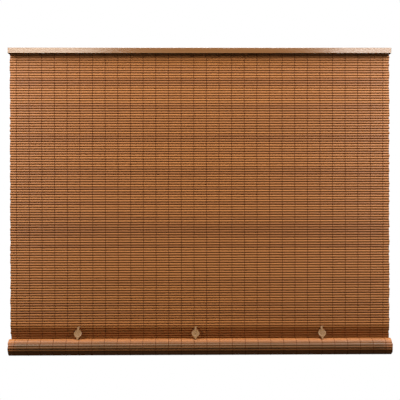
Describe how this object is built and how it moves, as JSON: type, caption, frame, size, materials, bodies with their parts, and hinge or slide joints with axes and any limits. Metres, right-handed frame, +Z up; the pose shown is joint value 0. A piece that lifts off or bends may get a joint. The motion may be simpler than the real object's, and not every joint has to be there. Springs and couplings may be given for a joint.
{
  "type": "vinyl roll-up blind",
  "caption": "Woven blind of hollow vinyl slats hanging from a slotted head rail, part rolled up on a hem tube and held by leaf-shaped hooks; the roll lifts towards the rail.",
  "frame": {"origin": "middle of the head rail's top face, midway between the two end screw holes", "axes": "+X along the rail to the viewer's right, -Y towards the viewer, +Z up, out of the rail's top face"},
  "size_m": [1.536, 0.0669, 1.2289],
  "materials": {
    "rail_vinyl": "glossy extruded vinyl, warm brown",
    "batten_vinyl": "plain extruded vinyl, brown",
    "slat_vinyl": "satin extruded vinyl, warm brown",
    "warp_thread": "dark brown twisted polyester",
    "hem_vinyl": "plain extruded vinyl, brown",
    "hook_plastic": "satin moulded plastic, tan"
  },
  "bodies": {
    "rail": {"headrail": "rail_vinyl", "end_cap_left": "rail_vinyl", "end_cap_right": "rail_vinyl", "head_batten": "batten_vinyl", "curtain_slats": "slat_vinyl", "warp_threads_front": "warp_thread", "warp_threads_back": "warp_thread"},
    "roll": {"rolled_slats": "slat_vinyl", "hem_tube": "hem_vinyl", "hem_plug_left": "hem_vinyl", "hem_plug_right": "hem_vinyl", "leaf_hook_left": "hook_plastic", "leaf_hook_middle": "hook_plastic", "leaf_hook_right": "hook_plastic"}
  },
  "joints": [
    {"name": "roll_lift", "type": "slide", "parent": "rail", "child": "roll", "axis": [0, 0, 1], "range_m": [0, 1.05], "deforming": ["curtain_slats", "warp_threads_front", "warp_threads_back"]}
  ]
}
